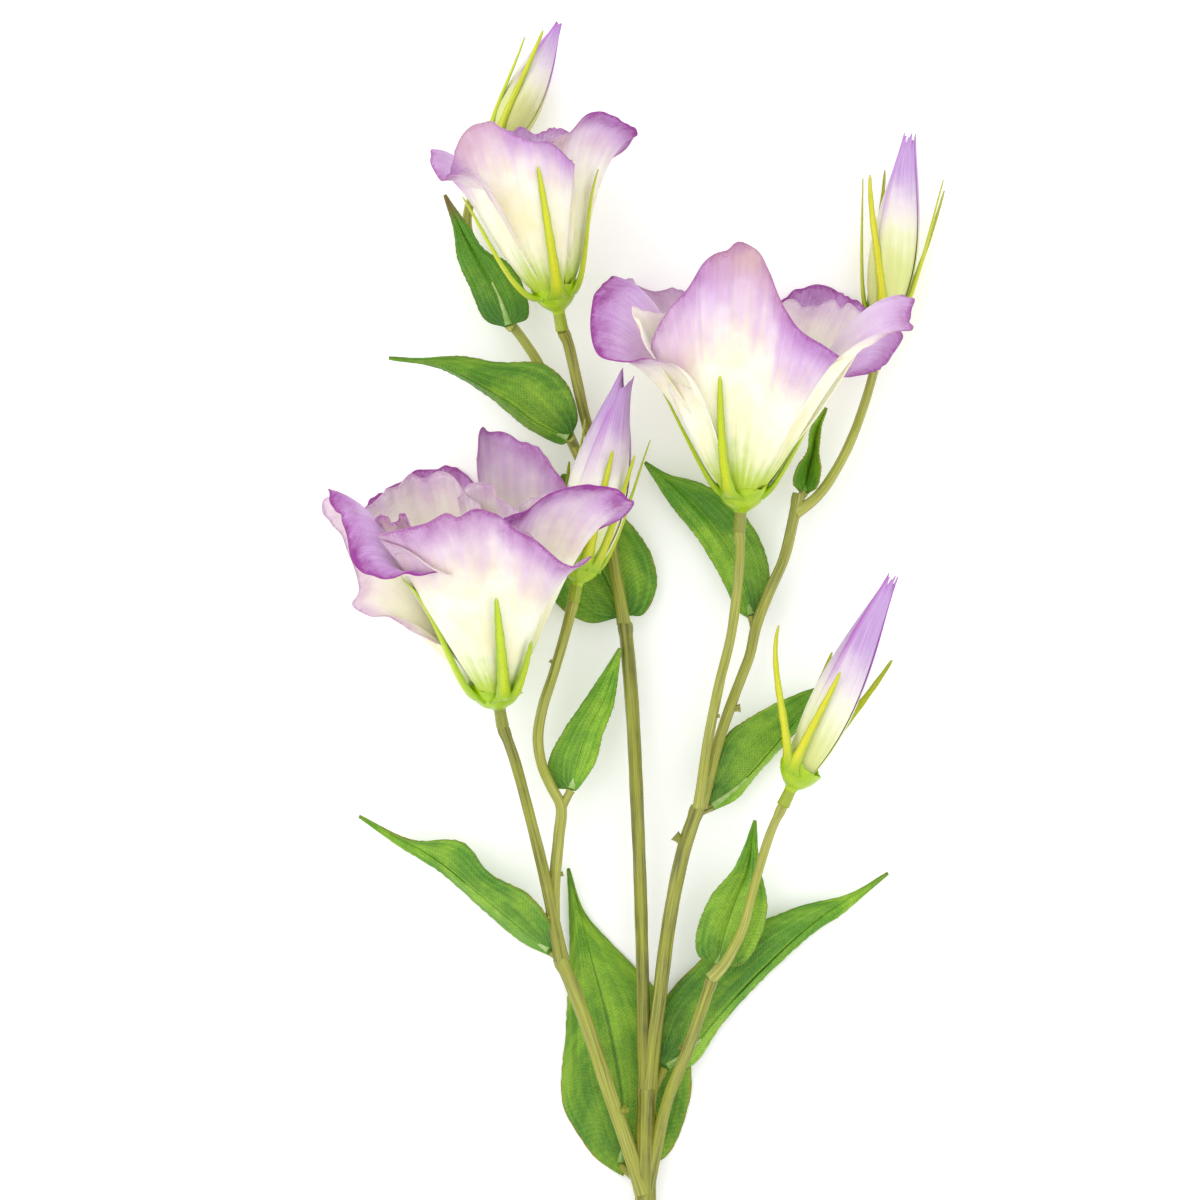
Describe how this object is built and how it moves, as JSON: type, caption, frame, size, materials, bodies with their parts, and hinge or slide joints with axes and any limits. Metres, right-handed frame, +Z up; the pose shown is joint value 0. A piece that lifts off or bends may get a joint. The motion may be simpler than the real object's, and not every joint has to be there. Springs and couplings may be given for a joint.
{
  "type": "lisianthus flower spray",
  "caption": "Branched cut stem of lisianthus lying flat, with open lilac and cream blooms, pointed buds and broad green leaves.",
  "frame": {"origin": "on the surface that the spray lies on, at the middle of its length and width", "axes": "+Y from the cut end to the top bud, +X to the spray's right seen from above, +Z up from the surface"},
  "size_m": [0.1725, 0.4185, 0.0675],
  "materials": {
    "stem": "moulded plastic, satin, olive",
    "leaf": "woven fabric, printed green",
    "calyx": "moulded plastic, half gloss, yellow-green",
    "petal": "fabric, cream shading to lilac at the rim",
    "bud": "fabric, cream-green shading to lilac at the tip",
    "centre": "moulded plastic, matt, yellow-green"
  },
  "bodies": {
    "root": {"main_stem": "stem", "left_branch": "stem", "left_bloom_stem": "stem", "left_bud_branch": "stem", "centre_stem": "stem", "top_stem": "stem", "top_bud_branch": "stem", "right_stem": "stem", "right_bloom_stem": "stem", "right_side_stem": "stem", "right_bud_branch": "stem", "low_right_branch": "stem", "low_bud_branch": "stem", "basal_leaf": "leaf", "lower_left_leaf": "leaf", "left_bud_leaf": "leaf", "round_leaf": "leaf", "spear_leaf": "leaf", "dark_leaf": "leaf", "right_spear_leaf": "leaf", "low_right_leaf": "leaf", "fork_leaf": "leaf", "upper_right_leaf": "leaf", "side_leaf": "leaf", "left_bloom_corolla": "petal", "left_bloom_calyx": "calyx", "left_bloom_centre": "centre", "right_bloom_corolla": "petal", "right_bloom_calyx": "calyx", "right_bloom_centre": "centre", "top_bloom_corolla": "petal", "top_bloom_calyx": "calyx", "top_bloom_centre": "centre", "top_bud_petals": "bud", "top_bud_calyx": "calyx", "right_bud_petals": "bud", "right_bud_calyx": "calyx", "middle_bud_petals": "bud", "middle_bud_calyx": "calyx", "low_bud_petals": "bud", "low_bud_calyx": "calyx"}
  },
  "joints": []
}
